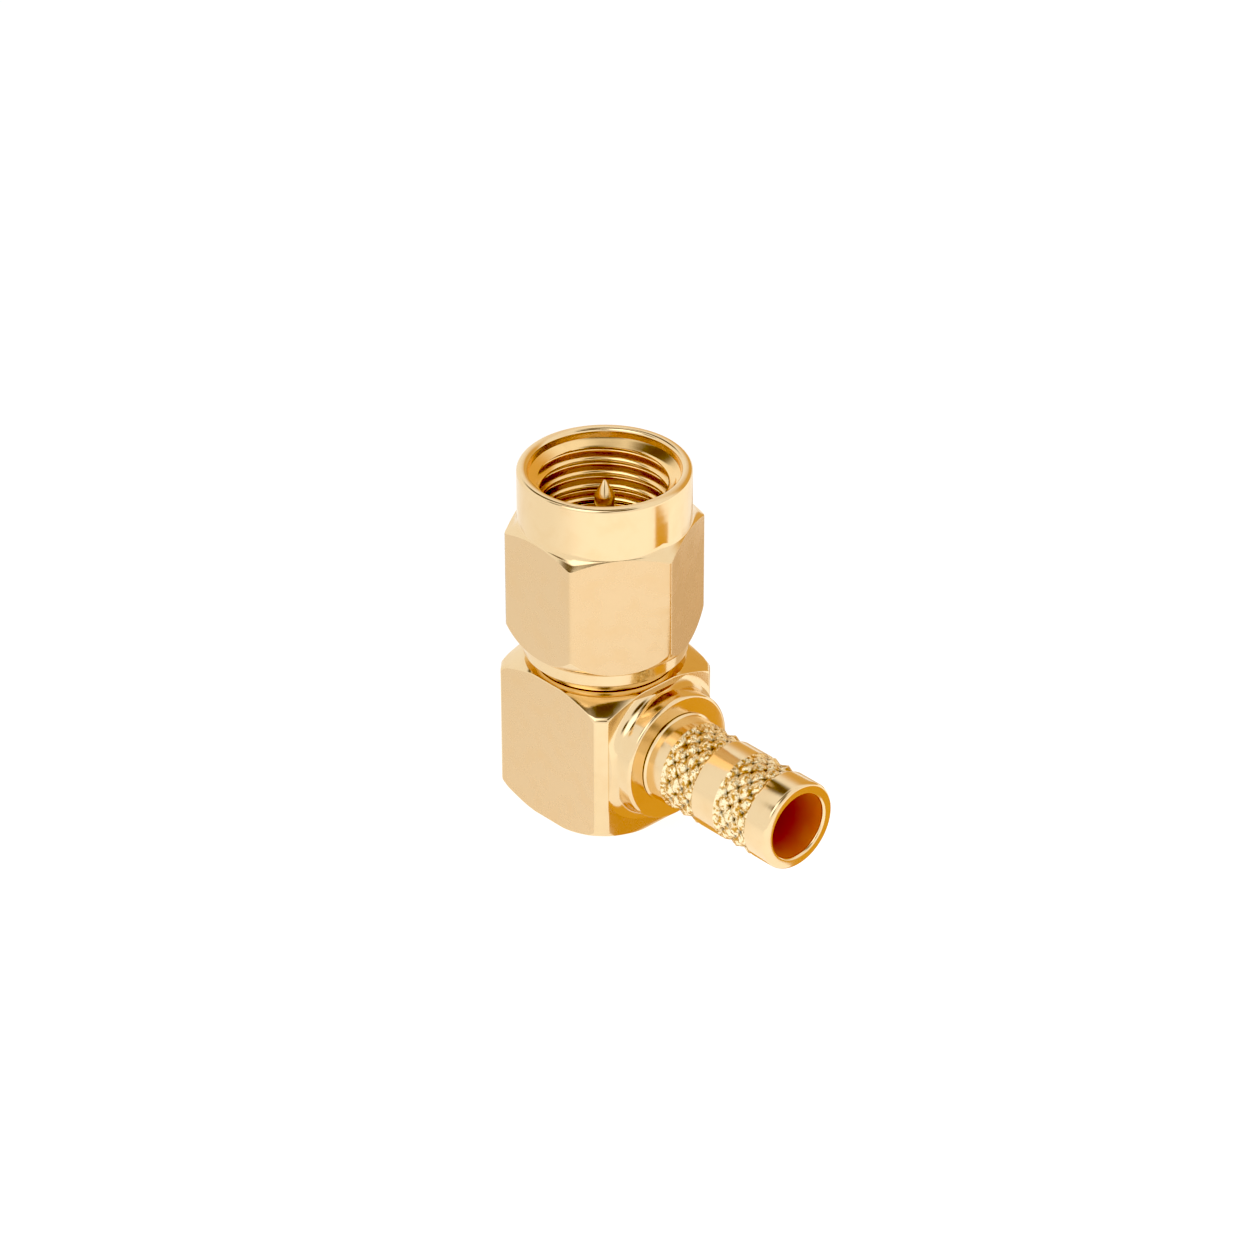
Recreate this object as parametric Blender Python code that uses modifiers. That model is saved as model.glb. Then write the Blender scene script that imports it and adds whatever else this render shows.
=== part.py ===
"""Right-angle coaxial plug for crimping onto a cable, with a hexagonal coupling nut.

Lengths are millimetres times MM, so every coordinate is in metres.
The origin is the centre of the flat underside, on the mating axis.
+Z runs along the mating axis to the mouth of the nut, and +X along the crimp stem.
"""
import math

import bmesh
import bpy
from mathutils import Matrix, Vector

MM = 0.001
TAU = 2 * math.pi

# Driving dimensions
FIT = 0.03 * MM                  # gap left between pieces that are pressed or seated together
ROUND_STEPS = 48                 # facets round a large turned piece
SMALL_STEPS = 24                 # facets round a small one

BLOCK_WIDTH = 7.24 * MM          # across the flats of the elbow block
BLOCK_HEIGHT = 7.50 * MM
BLOCK_CORNER_RADIUS = 4.82 * MM  # the vertical corners are turned about the mating axis
BLOCK_FLAT_RADIUS = 3.74 * MM    # where the turned chamfer of the top and underside starts
BLOCK_CHAMFER = math.radians(30)
CAVITY_RADIUS = 2.05 * MM

STEM_HEIGHT = 4.16 * MM          # stem axis above the underside
STEM_END = 12.72 * MM
STEM_RADIUS = 2.13 * MM
STEM_BORE_RADIUS = 1.575 * MM    # takes the dielectric of a 5 mm coaxial cable
STEM_SHANK_RADIUS = 2.00 * MM
STEM_SHANK_START = 2.60 * MM
STEM_SHOULDER = 4.93 * MM
BOSS_RADIUS = 3.08 * MM
BOSS_FILLET = 0.56 * MM
BOSS_EDGE_RADIUS = 0.16 * MM
BOSS_FACE_DROP = 0.08 * MM       # the boss's face falls away a little towards its edge
STEM_BEAD = 0.10 * MM            # ring of the stem that seats against the boss's face
STEM_LIP = 0.12 * MM             # rounding of the stem's free end

KNURL_STARTS = (5.95 * MM, 9.35 * MM)
KNURL_LENGTH = 2.05 * MM
KNURL_ROWS = 5                   # half diamonds along one band
KNURL_DIAMONDS = 13              # diamonds round the stem
KNURL_CREST = 2.16 * MM
KNURL_ROOT = 1.97 * MM

REFERENCE_PLANE = 14.15 * MM     # where the outer contacts of plug and jack meet
NOSE_RADIUS = 2.29 * MM
NOSE_LENGTH = 1.90 * MM
BARREL_RADIUS = 2.75 * MM
CONTACT_BORE_RADIUS = 2.07 * MM
SHANK_RADIUS = 2.50 * MM
SHANK_BOTTOM = 5.90 * MM
FLANGE_RADIUS = 3.30 * MM
FLANGE_TOP = 7.98 * MM

NUT_FLATS = 8.00 * MM
NUT_BOTTOM = 8.05 * MM
NUT_TOP = 17.40 * MM
NUT_TURN = math.radians(-2.7)    # the free nut stands turned a little off square
NUT_NECK_RADIUS = 3.98 * MM      # plain cylinder in front of the hexagon
NUT_NECK_BOTTOM = 14.98 * MM
NUT_COLLAR_RADIUS = 3.82 * MM
NUT_COLLAR_TOP = 8.66 * MM
NUT_COLLAR_EDGE = 0.10 * MM
NUT_LIP_RADIUS = 0.20 * MM
NUT_SHOULDER_SLOPE = 0.95        # drop over run of the turned shoulder above the hexagon
NUT_TAPER_STEPS = ((0, 0.90 * MM), (0.25 * MM, 0.52 * MM))   # in from the corner, up from the collar
NUT_BORE_RADIUS = 2.80 * MM      # runs on the barrel with 0.05 mm clearance
NUT_RELIEF_RADIUS = 3.27 * MM
NUT_RELIEF_BOTTOM = 11.20 * MM
NUT_RELIEF_TOP = 12.50 * MM
MOUTH_RADIUS = 3.44 * MM
MOUTH_DEPTH = 0.62 * MM

THREAD_PITCH = 25.4 / 36 * MM    # quarter inch, 36 threads per inch
THREAD_MINOR_RADIUS = 2.82 * MM
THREAD_MAJOR_RADIUS = 3.20 * MM

RING_GROOVE_BOTTOM = 9.80 * MM
RING_THICKNESS = 0.45 * MM
RING_INNER_RADIUS = 2.44 * MM
RING_OUTER_RADIUS = 2.98 * MM
RING_GAP = 1.0 * MM
RING_CLEARANCE = 0.02 * MM       # under the ring and over it, in the nut's groove
NUT_FLOAT = 0.15 * MM            # axial play of the nut and its ring

GASKET_BOTTOM = 11.40 * MM
GASKET_THICKNESS = 0.85 * MM
GASKET_OUTER_RADIUS = 3.12 * MM

PIN_RADIUS = 0.46 * MM
PIN_TIP = 16.69 * MM
PIN_CONE_LENGTH = 0.73 * MM
CONTACT_RADIUS = 0.635 * MM
CONTACT_COLLAR_RADIUS = 1.00 * MM
CONTACT_COLLAR_BOTTOM = 7.95 * MM
CONTACT_COLLAR_TOP = 8.35 * MM
SOLDER_END_RADIUS = 0.95 * MM
SOLDER_END_BOTTOM = 3.20 * MM
SOLDER_END_TOP = 5.60 * MM
SOLDER_SLOT_WIDTH = 0.95 * MM
SOLDER_SLOT_TOP = 4.75 * MM

CAP_RADIUS = 2.32 * MM
CAP_THICKNESS = 0.80 * MM
CAP_DISC_THICKNESS = 0.90 * MM


def clear_scene():
    for old in list(bpy.data.objects):
        bpy.data.objects.remove(old)


def new_collection(name):
    collection = bpy.data.collections.new(name)
    bpy.context.scene.collection.children.link(collection)
    return collection


def metal_or_polymer(name, colour, roughness, metallic):
    material = bpy.data.materials.new(name)
    material.use_nodes = True
    shader = material.node_tree.nodes["Principled BSDF"]
    shader.inputs["Base Color"].default_value = (*colour, 1.0)
    shader.inputs["Roughness"].default_value = roughness
    shader.inputs["Metallic"].default_value = metallic
    return material


def place(name, mesh, collection, material=None):
    piece = bpy.data.objects.new(name, mesh)
    collection.objects.link(piece)
    if material:
        mesh.materials.append(material)
    return piece


def hide_cutter(cutter):
    cutter.hide_render = True
    cutter.display_type = "WIRE"
    return cutter


def turned(name, profile, collection, material=None, steps=ROUND_STEPS, closed=True):
    """Spin a profile of (radius, height) points about the object's own Z axis.

    The profile runs down its outer side. A closed one makes a ring, and an open one
    starts and ends on the axis.
    """
    mesh = bpy.data.meshes.new(name)
    edges = [(i, i + 1) for i in range(len(profile) - 1)]
    if closed:
        edges.append((len(profile) - 1, 0))
    mesh.from_pydata([(radius, 0, height) for radius, height in profile], edges, [])
    piece = place(name, mesh, collection, material)
    screw = piece.modifiers.new("Turn", "SCREW")
    screw.axis = "Z"
    screw.steps = screw.render_steps = steps
    screw.use_merge_vertices = True
    screw.merge_threshold = 1e-6
    screw.use_smooth_shade = False
    return piece


def box(name, low, high, collection):
    """A rectangular block between two corners."""
    mesh = bpy.data.meshes.new(name)
    shape = bmesh.new()
    bmesh.ops.create_cube(shape, size=1.0)
    size = Vector(high) - Vector(low)
    middle = (Vector(high) + Vector(low)) / 2
    sized = Matrix.Diagonal((*size, 1))
    bmesh.ops.transform(shape, verts=shape.verts, matrix=Matrix.Translation(middle) @ sized)
    shape.to_mesh(mesh)
    shape.free()
    return place(name, mesh, collection)


def arc(centre, radius, start, end, count):
    """Points (r, z) on an arc about a centre, from one angle to the other in degrees."""
    angles = [math.radians(start + (end - start) * i / count) for i in range(count + 1)]
    return [(centre[0] + radius * math.cos(a), centre[1] + radius * math.sin(a)) for a in angles]


def along_x(piece):
    """Turn a piece built about Z so that its axis is the stem's axis, along +X."""
    piece.rotation_euler = (0, math.pi / 2, 0)
    piece.location = (0, 0, STEM_HEIGHT)


def combine(piece, tool, operation, name):
    modifier = piece.modifiers.new(name, "BOOLEAN")
    modifier.operation = operation
    modifier.object = tool
    modifier.solver = "EXACT"


def elbow_block(parts, tools, gold):
    """Square brass block with turned corners and chamfers, and a round boss for the stem."""
    half = BLOCK_WIDTH / 2
    drop = (BLOCK_CORNER_RADIUS - BLOCK_FLAT_RADIUS) * math.tan(BLOCK_CHAMFER)
    block = turned("elbow_block", [
        (0, BLOCK_HEIGHT), (BLOCK_FLAT_RADIUS, BLOCK_HEIGHT), (BLOCK_CORNER_RADIUS, BLOCK_HEIGHT - drop),
        (BLOCK_CORNER_RADIUS, drop), (BLOCK_FLAT_RADIUS, 0), (0, 0)], parts, gold, closed=False)
    bar = hide_cutter(box("square_bar", (-half, -half, -half), (half, half, BLOCK_HEIGHT + half), tools))
    combine(block, bar, "INTERSECT", "Mill four sides")

    root = BOSS_RADIUS + BOSS_FILLET
    face = STEM_SHOULDER - FIT
    edge = (BOSS_RADIUS - BOSS_EDGE_RADIUS, face - BOSS_FACE_DROP - BOSS_EDGE_RADIUS)
    cove = arc((root, half + BOSS_FILLET), BOSS_FILLET, 180, 268, 5)
    nose = arc(edge, BOSS_EDGE_RADIUS, 90, 0, 3)
    boss = hide_cutter(turned("boss", [(0, face), (STEM_RADIUS + STEM_BEAD, face), *nose, *cove,
                                       (root, half - MM), (0, half - MM)], tools, closed=False))
    along_x(boss)
    corner = math.sqrt(BLOCK_CORNER_RADIUS ** 2 - half ** 2)
    inset = 0.2 * MM
    limit = hide_cutter(box("boss_limit", (half - MM / 2, inset / 20 - corner, inset),
                            (face + MM, corner - inset / 20, BLOCK_HEIGHT - inset), tools))
    combine(boss, limit, "INTERSECT", "Trim the fillet to the face")
    combine(block, boss, "UNION", "Add the boss")

    bores = hide_cutter(turned("vertical_bores", [
        (0, BLOCK_HEIGHT + MM), (SHANK_RADIUS + FIT, BLOCK_HEIGHT + MM),
        (SHANK_RADIUS + FIT, SHANK_BOTTOM - FIT), (CAVITY_RADIUS, SHANK_BOTTOM - FIT),
        (CAVITY_RADIUS, CAP_THICKNESS + FIT), (CAP_RADIUS + FIT, CAP_THICKNESS + FIT),
        (CAP_RADIUS + FIT, -MM), (0, -MM)], tools, closed=False))
    combine(block, bores, "DIFFERENCE", "Bore for shell and cap")
    stem_bore = hide_cutter(turned("stem_bore", [
        (0, STEM_SHOULDER + MM), (STEM_SHANK_RADIUS + FIT, STEM_SHOULDER + MM),
        (STEM_SHANK_RADIUS + FIT, STEM_SHANK_START - FIT), (STEM_BORE_RADIUS, STEM_SHANK_START - FIT),
        (STEM_BORE_RADIUS, 0), (0, 0)], tools, closed=False, steps=SMALL_STEPS * 2))
    along_x(stem_bore)
    combine(block, stem_bore, "DIFFERENCE", "Bore for stem")
    return block


def outer_contact(parts, gold):
    """Turned shell: mating nose, gasket shoulder, ring groove, flange and press-fit shank."""
    barrel_top = REFERENCE_PLANE - NOSE_LENGTH - GASKET_THICKNESS - FIT
    groove_top = RING_GROOVE_BOTTOM + RING_THICKNESS + NUT_FLOAT + 0.04 * MM
    groove_radius = RING_INNER_RADIUS - 0.04 * MM
    chamfer = 0.08 * MM
    return turned("outer_contact", [
        (CONTACT_BORE_RADIUS, REFERENCE_PLANE), (NOSE_RADIUS - chamfer, REFERENCE_PLANE),
        (NOSE_RADIUS, REFERENCE_PLANE - chamfer), (NOSE_RADIUS, barrel_top),
        (BARREL_RADIUS, barrel_top), (BARREL_RADIUS, groove_top), (groove_radius, groove_top),
        (groove_radius, RING_GROOVE_BOTTOM), (BARREL_RADIUS, RING_GROOVE_BOTTOM),
        (BARREL_RADIUS, FLANGE_TOP), (FLANGE_RADIUS, FLANGE_TOP), (FLANGE_RADIUS, BLOCK_HEIGHT + FIT),
        (SHANK_RADIUS, BLOCK_HEIGHT + FIT), (SHANK_RADIUS, SHANK_BOTTOM),
        (CONTACT_BORE_RADIUS, SHANK_BOTTOM)], parts, gold)


def insulators(parts, ptfe):
    """Two fluoropolymer sleeves that trap the collar of the contact, and the disc on the cap."""
    sleeve = CONTACT_BORE_RADIUS - FIT
    hole = CONTACT_RADIUS + FIT
    for name, bottom, top in (
            ("front_insulator", CONTACT_COLLAR_TOP + FIT, REFERENCE_PLANE),
            ("rear_insulator", SHANK_BOTTOM + FIT, CONTACT_COLLAR_BOTTOM - FIT)):
        turned(name, [(hole, top), (sleeve, top), (sleeve, bottom), (hole, bottom)], parts, ptfe,
               steps=SMALL_STEPS)
    disc_bottom = CAP_THICKNESS + FIT
    disc_top = disc_bottom + CAP_DISC_THICKNESS
    turned("cap_insulator", [(0, disc_top), (CAVITY_RADIUS - FIT, disc_top),
                             (CAVITY_RADIUS - FIT, disc_bottom), (0, disc_bottom)], parts, ptfe,
           steps=SMALL_STEPS, closed=False)


def center_contact(parts, tools, gold):
    """Pin with a conical tip, a collar held between the sleeves, and a slotted solder end."""
    cone_bottom = PIN_TIP - PIN_CONE_LENGTH
    tip_radius = 0.06 * MM
    contact = turned("center_contact", [
        (0, PIN_TIP), (tip_radius, PIN_TIP), (PIN_RADIUS, cone_bottom), (PIN_RADIUS, REFERENCE_PLANE),
        (CONTACT_RADIUS, REFERENCE_PLANE), (CONTACT_RADIUS, CONTACT_COLLAR_TOP),
        (CONTACT_COLLAR_RADIUS, CONTACT_COLLAR_TOP), (CONTACT_COLLAR_RADIUS, CONTACT_COLLAR_BOTTOM),
        (CONTACT_RADIUS, CONTACT_COLLAR_BOTTOM), (CONTACT_RADIUS, SOLDER_END_TOP),
        (SOLDER_END_RADIUS, SOLDER_END_TOP), (SOLDER_END_RADIUS, SOLDER_END_BOTTOM),
        (0, SOLDER_END_BOTTOM)], parts, gold, steps=SMALL_STEPS, closed=False)
    slot = hide_cutter(box("solder_slot", (-2 * MM, -SOLDER_SLOT_WIDTH / 2, SOLDER_END_BOTTOM - MM),
                           (2 * MM, SOLDER_SLOT_WIDTH / 2, SOLDER_SLOT_TOP), tools))
    combine(contact, slot, "DIFFERENCE", "Saw the slot")
    return contact


def thread_cutter(tools):
    """Triangular helix that cuts the thread, from the relief groove out through the mouth."""
    turns = 7
    bottom = NUT_RELIEF_TOP - 0.45 * MM
    half_width = THREAD_PITCH * 0.46
    inner = THREAD_MINOR_RADIUS - 0.10 * MM
    mesh = bpy.data.meshes.new("thread_cutter")
    mesh.from_pydata([(inner, 0, bottom - half_width), (THREAD_MAJOR_RADIUS, 0, bottom),
                      (inner, 0, bottom + half_width)], [(0, 1), (1, 2), (2, 0)], [])
    helix = place("thread_cutter", mesh, tools)
    screw = helix.modifiers.new("Helix", "SCREW")
    screw.axis = "Z"
    screw.screw_offset = THREAD_PITCH
    screw.iterations = turns
    screw.steps = screw.render_steps = ROUND_STEPS
    screw.use_merge_vertices = False
    screw.use_smooth_shade = False
    shape = bmesh.new()
    shape.from_object(helix, bpy.context.evaluated_depsgraph_get())
    bmesh.ops.holes_fill(shape, edges=shape.edges, sides=3)
    bmesh.ops.recalc_face_normals(shape, faces=shape.faces)
    helix.modifiers.remove(screw)
    shape.to_mesh(mesh)
    shape.free()
    return hide_cutter(helix)


def coupling_nut(parts, tools, gold):
    """Hexagonal nut: turned neck and collar, ring groove, gasket relief and internal thread."""
    groove_bottom = RING_GROOVE_BOTTOM - RING_CLEARANCE / 2
    groove_top = RING_GROOVE_BOTTOM + RING_THICKNESS + 2 * RING_CLEARANCE
    groove_radius = RING_OUTER_RADIUS + NUT_BORE_RADIUS - BARREL_RADIUS
    corner = NUT_FLATS / 2 / math.cos(math.pi / 6) + FIT
    shoulder = NUT_NECK_BOTTOM - (corner - NUT_NECK_RADIUS) * NUT_SHOULDER_SLOPE
    taper = [(corner - inward, NUT_COLLAR_TOP + upward) for inward, upward in NUT_TAPER_STEPS]
    lip = arc((NUT_NECK_RADIUS - NUT_LIP_RADIUS, NUT_TOP - NUT_LIP_RADIUS), NUT_LIP_RADIUS, 90, 0, 3)
    nut = turned("coupling_nut", [
        (MOUTH_RADIUS, NUT_TOP), *lip, (NUT_NECK_RADIUS, NUT_NECK_BOTTOM), (corner, shoulder), *taper,
        (NUT_COLLAR_RADIUS, NUT_COLLAR_TOP), (NUT_COLLAR_RADIUS, NUT_BOTTOM + NUT_COLLAR_EDGE),
        (NUT_COLLAR_RADIUS - NUT_COLLAR_EDGE, NUT_BOTTOM), (NUT_BORE_RADIUS, NUT_BOTTOM),
        (NUT_BORE_RADIUS, groove_bottom), (groove_radius, groove_bottom), (groove_radius, groove_top),
        (NUT_BORE_RADIUS, groove_top), (NUT_BORE_RADIUS, NUT_RELIEF_BOTTOM),
        (NUT_RELIEF_RADIUS, NUT_RELIEF_BOTTOM), (NUT_RELIEF_RADIUS, NUT_RELIEF_TOP),
        (THREAD_MINOR_RADIUS, NUT_RELIEF_TOP + 0.3 * MM),
        (THREAD_MINOR_RADIUS, NUT_TOP - MOUTH_DEPTH)], parts, gold)
    nut.rotation_euler = (0, 0, NUT_TURN)

    mesh = bpy.data.meshes.new("hexagon_bar")
    shape = bmesh.new()
    radius = NUT_FLATS / 2 / math.cos(math.pi / 6)
    bmesh.ops.create_cone(shape, cap_ends=True, segments=6, radius1=radius, radius2=radius,
                          depth=3 * (NUT_TOP - NUT_BOTTOM))
    bmesh.ops.translate(shape, verts=shape.verts, vec=(0, 0, (NUT_TOP + NUT_BOTTOM) / 2))
    shape.to_mesh(mesh)
    shape.free()
    bar = hide_cutter(place("hexagon_bar", mesh, tools))
    bar.rotation_euler = (0, 0, NUT_TURN + TAU / 12)
    combine(nut, bar, "INTERSECT", "Mill six flats")
    combine(nut, thread_cutter(tools), "DIFFERENCE", "Cut the thread")
    return nut


def retaining_ring(parts, tools, copper):
    """Split spring ring that holds the nut on the barrel and lets it turn."""
    bottom = RING_GROOVE_BOTTOM + RING_CLEARANCE
    top = bottom + RING_THICKNESS
    ring = turned("retaining_ring", [(RING_INNER_RADIUS, top), (RING_OUTER_RADIUS, top),
                                     (RING_OUTER_RADIUS, bottom), (RING_INNER_RADIUS, bottom)],
                  parts, copper)
    gap = hide_cutter(box("ring_gap", (-2 * RING_OUTER_RADIUS, -RING_GAP / 2, bottom - MM),
                          (0, RING_GAP / 2, top + MM), tools))
    combine(ring, gap, "DIFFERENCE", "Split the ring")
    return ring


def gasket(parts, silicone):
    """Silicone washer that the end of the jack is tightened against."""
    inner = NOSE_RADIUS + 0.04 * MM
    soft = 0.18 * MM
    top = GASKET_BOTTOM + GASKET_THICKNESS
    outer_top = arc((GASKET_OUTER_RADIUS - soft, top - soft), soft, 90, 0, 3)
    outer_bottom = arc((GASKET_OUTER_RADIUS - soft, GASKET_BOTTOM + soft), soft, 0, -90, 3)
    return turned("gasket", [(inner, top), *outer_top, *outer_bottom, (inner, GASKET_BOTTOM)],
                  parts, silicone)


def access_cap(parts, gold):
    """Disc pressed into the underside once the cable's core has been soldered."""
    edge = 0.1 * MM
    return turned("access_cap", [(0, CAP_THICKNESS), (CAP_RADIUS, CAP_THICKNESS), (CAP_RADIUS, edge),
                                 (CAP_RADIUS - edge, 0), (0, 0)], parts, gold,
                  steps=ROUND_STEPS, closed=False)


def knurled_sleeve(name, start, tools):
    """Band of pyramids: a tube whose outer rows of points are raised and lowered in turn."""
    around = 2 * KNURL_DIAMONDS
    rows = KNURL_ROWS
    shape = bmesh.new()
    inside = (STEM_BORE_RADIUS + STEM_RADIUS) / 2
    grid = []
    for row in range(rows + 1):
        height = start + KNURL_LENGTH * row / rows
        ring = []
        for step in range(around):
            angle = TAU * step / around
            edge = row in (0, rows)
            radius = KNURL_CREST if (row + step) % 2 == 0 and not edge else KNURL_ROOT
            ring.append(shape.verts.new((radius * math.cos(angle), radius * math.sin(angle), height)))
        grid.append(ring)
    turns = [TAU * step / around for step in range(around)]
    bottom = [shape.verts.new((inside * math.cos(a), inside * math.sin(a), start)) for a in turns]
    top = [shape.verts.new((v.co.x, v.co.y, start + KNURL_LENGTH)) for v in bottom]
    for row in range(rows):
        for step in range(around):
            after = (step + 1) % around
            a, b = grid[row][step], grid[row][after]
            c, d = grid[row + 1][after], grid[row + 1][step]
            if (row + step) % 2 == 0:
                shape.faces.new((a, b, d))
                shape.faces.new((b, c, d))
            else:
                shape.faces.new((a, b, c))
                shape.faces.new((a, c, d))
    for step in range(around):
        after = (step + 1) % around
        shape.faces.new((grid[0][step], bottom[step], bottom[after], grid[0][after]))
        shape.faces.new((grid[rows][step], grid[rows][after], top[after], top[step]))
        shape.faces.new((bottom[step], top[step], top[after], bottom[after]))
    bmesh.ops.recalc_face_normals(shape, faces=shape.faces)
    mesh = bpy.data.meshes.new(name)
    shape.to_mesh(mesh)
    shape.free()
    sleeve = hide_cutter(place(name, mesh, tools))
    along_x(sleeve)
    return sleeve


def crimp_stem(parts, tools, gold):
    """Tube pressed into the boss, with two knurled bands that the cable's braid is crimped on."""
    seat = STEM_RADIUS + STEM_BEAD
    edge = (STEM_RADIUS - STEM_LIP, STEM_END - STEM_LIP)
    profile = [(STEM_BORE_RADIUS + STEM_LIP / 2, STEM_END), *arc(edge, STEM_LIP, 90, 0, 3)]
    for start in reversed(KNURL_STARTS):
        profile += [(STEM_RADIUS, start + KNURL_LENGTH), (KNURL_ROOT - FIT, start + KNURL_LENGTH),
                    (KNURL_ROOT - FIT, start), (STEM_RADIUS, start)]
    profile += [(STEM_RADIUS, STEM_SHOULDER + STEM_BEAD), (seat, STEM_SHOULDER + STEM_BEAD / 2),
                (seat, STEM_SHOULDER), (STEM_SHANK_RADIUS, STEM_SHOULDER),
                (STEM_SHANK_RADIUS, STEM_SHANK_START), (STEM_BORE_RADIUS, STEM_SHANK_START),
                (STEM_BORE_RADIUS, STEM_END - STEM_LIP / 2)]
    stem = turned("crimp_stem", profile, parts, gold, steps=4 * KNURL_DIAMONDS)
    along_x(stem)
    for number, start in enumerate(KNURL_STARTS, 1):
        sleeve = knurled_sleeve(f"knurl_{number}", start, tools)
        combine(stem, sleeve, "UNION", f"Roll knurl {number}")
    return stem


def shade(parts):
    for piece in parts.objects:
        if piece.type == "MESH":
            piece.data.shade_smooth()
            piece.data.set_sharp_from_angle(angle=math.radians(35))


def build():
    clear_scene()
    parts = new_collection("right_angle_plug")
    tools = new_collection("cutters")
    gold = metal_or_polymer("gold_plate", (0.83, 0.60, 0.28), 0.22, 1.0)
    ptfe = metal_or_polymer("ptfe", (0.90, 0.89, 0.86), 0.45, 0.0)
    copper = metal_or_polymer("beryllium_copper", (0.72, 0.45, 0.25), 0.35, 1.0)
    silicone = metal_or_polymer("red_silicone", (0.55, 0.07, 0.04), 0.55, 0.0)

    elbow_block(parts, tools, gold)
    outer_contact(parts, gold)
    insulators(parts, ptfe)
    center_contact(parts, tools, gold)
    crimp_stem(parts, tools, gold)
    access_cap(parts, gold)
    gasket(parts, silicone)
    retaining_ring(parts, tools, copper)
    coupling_nut(parts, tools, gold)
    shade(parts)


build()
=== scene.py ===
import math

import bpy
import numpy as np
from mathutils import Matrix, Vector


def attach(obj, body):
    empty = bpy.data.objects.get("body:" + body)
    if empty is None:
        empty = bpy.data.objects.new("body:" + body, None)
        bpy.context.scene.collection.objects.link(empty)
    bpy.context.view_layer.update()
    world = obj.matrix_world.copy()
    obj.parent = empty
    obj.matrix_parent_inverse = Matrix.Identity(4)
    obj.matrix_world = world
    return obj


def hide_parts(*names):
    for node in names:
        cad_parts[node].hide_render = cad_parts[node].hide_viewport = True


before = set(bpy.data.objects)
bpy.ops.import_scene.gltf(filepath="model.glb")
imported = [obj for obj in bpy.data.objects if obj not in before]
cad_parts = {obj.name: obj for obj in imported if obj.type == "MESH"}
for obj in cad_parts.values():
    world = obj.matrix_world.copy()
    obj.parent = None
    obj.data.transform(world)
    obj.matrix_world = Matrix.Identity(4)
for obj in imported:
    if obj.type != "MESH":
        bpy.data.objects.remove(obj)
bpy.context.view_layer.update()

# Bench, light and camera. The plug stands on its flat underside on a white acrylic light table.
# White walls stand round the table, with brown gaps between them, an unlit amber room behind and a
# soft lamp beside the camera, and the polished gold shows them all.
MM = 0.001                                   # one millimetre, as every length is in metres


def linear(hex_colour):
    """One sRGB hex colour as linear red, green, blue and an alpha of one."""
    parts = [int(hex_colour[i:i + 2], 16) / 255 for i in (0, 2, 4)]
    return [p / 12.92 if p <= 0.04045 else ((p + 0.055) / 1.055) ** 2.4 for p in parts] + [1.0]


def node(tree, kind, settings=None, **links):
    """Add a node: settings are its own values by name or its input values by index or name."""
    made = tree.nodes.new(kind)
    for key, value in (settings or {}).items():
        if isinstance(key, str) and hasattr(made, key):
            setattr(made, key, value)
        else:
            made.inputs[key].default_value = value
    for key, source in links.items():
        place = int(key[1:]) if key[0] == "i" and key[1:].isdigit() else key.replace("_", " ")
        tree.links.new(source, made.inputs[place])
    return made


def blend(tree, share, low, high):
    """Colour between low and high by a share. Low is linear values or another node's output."""
    mix = node(tree, "ShaderNodeMix", {"data_type": "RGBA", 7: high}, i0=share)
    if isinstance(low, bpy.types.NodeSocket):
        tree.links.new(low, mix.inputs[6])
    else:
        mix.inputs[6].default_value = low
    return mix.outputs[2]


def surface(name, **values):
    """New material with its node tree and its shader, whose inputs take the given values."""
    material = bpy.data.materials.new(name)
    material.use_nodes = True
    shader = material.node_tree.nodes["Principled BSDF"]
    for key, value in values.items():
        shader.inputs[key.replace("_", " ")].default_value = value
    return material, material.node_tree, shader


def object_place(tree):
    """Place on the piece itself, in metres."""
    return node(tree, "ShaderNodeTexCoord").outputs["Object"]


def mesh_of(name, points, faces):
    """New mesh from its points and its faces."""
    mesh = bpy.data.meshes.new(name)
    mesh.from_pydata(points, [], faces)
    return mesh


def add(name, data):
    """New object in the scene."""
    made = bpy.data.objects.new(name, data)
    bpy.context.scene.collection.objects.link(made)
    return made


STEM_HEIGHT = 4.16 * MM                      # of the stem's axis above the table
EYE = (147.805 * MM, -136.404 * MM, 128.367 * MM + STEM_HEIGHT)
AZIMUTH, ELEVATION, ROLL = (math.radians(a) for a in (47.038, 31.549, -0.079))
back = Vector((math.sin(AZIMUTH) * math.cos(ELEVATION), -math.cos(AZIMUTH) * math.cos(ELEVATION),
               math.sin(ELEVATION)))
right = Vector((math.cos(AZIMUTH), math.sin(AZIMUTH), 0))
view = Matrix((right, back.cross(right), back)).transposed()
camera = add("camera", bpy.data.cameras.new("camera"))
camera.matrix_world = (Matrix.Translation(EYE)
                       @ (view @ Matrix.Rotation(ROLL, 3, "Z")).to_4x4())
camera.data.sensor_width = 36                # mm
camera.data.lens = 148.59                    # mm
bpy.context.scene.camera = camera
look = bpy.context.scene.view_settings
look.view_transform = "Standard"
look.use_curve_mapping = True
look.curve_mapping.black_level = (0.045, 0.045, 0.045)   # a crisp print: dim gold turns amber


def towards(azimuth, elevation):
    """Unit vector at an azimuth and elevation in degrees."""
    turn, rise = math.radians(azimuth), math.radians(elevation)
    return (math.cos(turn) * math.cos(rise), math.sin(turn) * math.cos(rise), math.sin(rise))


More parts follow.
